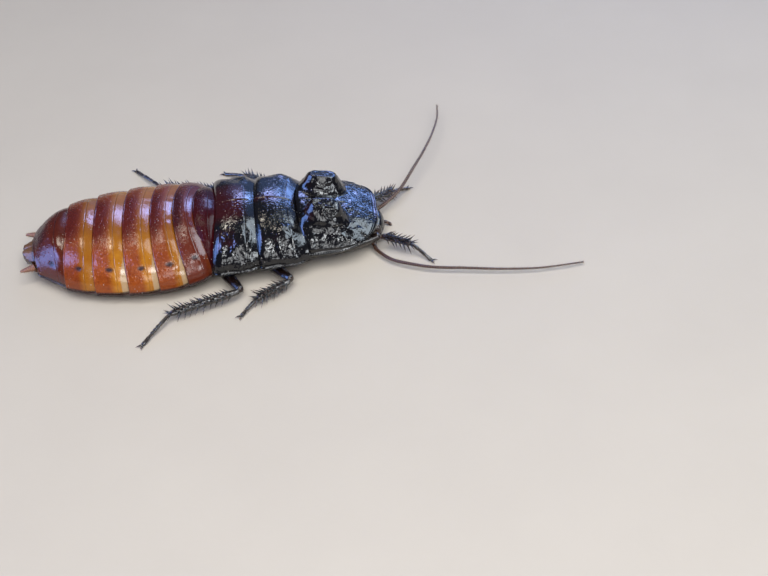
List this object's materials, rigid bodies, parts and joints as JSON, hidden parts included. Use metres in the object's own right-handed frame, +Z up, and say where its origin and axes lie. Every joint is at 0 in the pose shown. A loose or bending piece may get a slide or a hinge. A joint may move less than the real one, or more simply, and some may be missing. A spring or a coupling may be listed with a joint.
{
  "type": "madagascar hissing cockroach",
  "caption": "Life-size adult male hissing cockroach, horned black thorax shields and banded red-brown abdomen, resting on belly and feet.",
  "frame": {"origin": "on the floor, at the middle of the flat of the belly under the fourth abdomen segment", "axes": "+X to the head, +Y to the animal's left, +Z up from the floor"},
  "size_m": [0.1007, 0.0621, 0.0124],
  "materials": {
    "black_shell": "glossy pebbled black shell",
    "maroon_shell": "glossy dark maroon shell, finely granular",
    "amber_shell": "glossy banded shell, amber in front and dark red behind",
    "underside": "satin brown plates and folds",
    "tail_plate": "satin tan-brown shell",
    "cercus": "satin pinkish brown",
    "leg_shell": "glossy black shell with spines",
    "feeler": "satin ringed brown",
    "eye": "glossy black-brown facets"
  },
  "bodies": {
    "root": {"head": "black_shell", "eye_left": "eye", "eye_right": "eye", "antenna_left_1": "feeler", "antenna_left_2": "feeler", "antenna_right_1": "feeler", "antenna_right_2": "feeler", "palp_left": "feeler", "palp_right": "feeler", "pronotum": "black_shell", "mesonotum": "black_shell", "metanotum": "maroon_shell", "thorax_underside": "underside", "abdomen_1": "maroon_shell", "abdomen_2": "maroon_shell", "abdomen_3": "amber_shell", "abdomen_4": "amber_shell", "abdomen_5": "amber_shell", "abdomen_6": "amber_shell", "abdomen_7": "amber_shell", "supra_anal_plate": "tail_plate", "cercus_left": "cercus", "cercus_right": "cercus", "coxa_fore_right": "leg_shell", "femur_fore_right": "leg_shell", "tibia_fore_right": "leg_shell", "tarsus_fore_right": "leg_shell", "coxa_fore_left": "leg_shell", "femur_fore_left": "leg_shell", "tibia_fore_left": "leg_shell", "tarsus_fore_left": "leg_shell", "coxa_middle_right": "leg_shell", "femur_middle_right": "leg_shell", "tibia_middle_right": "leg_shell", "tarsus_middle_right": "leg_shell", "coxa_middle_left": "leg_shell", "femur_middle_left": "leg_shell", "tibia_middle_left": "leg_shell", "tarsus_middle_left": "leg_shell", "coxa_hind_right": "leg_shell", "femur_hind_right": "leg_shell", "tibia_hind_right": "leg_shell", "tarsus_hind_right": "leg_shell", "coxa_hind_left": "leg_shell", "femur_hind_left": "leg_shell", "tibia_hind_left": "leg_shell", "tarsus_hind_left": "leg_shell"}
  },
  "joints": []
}
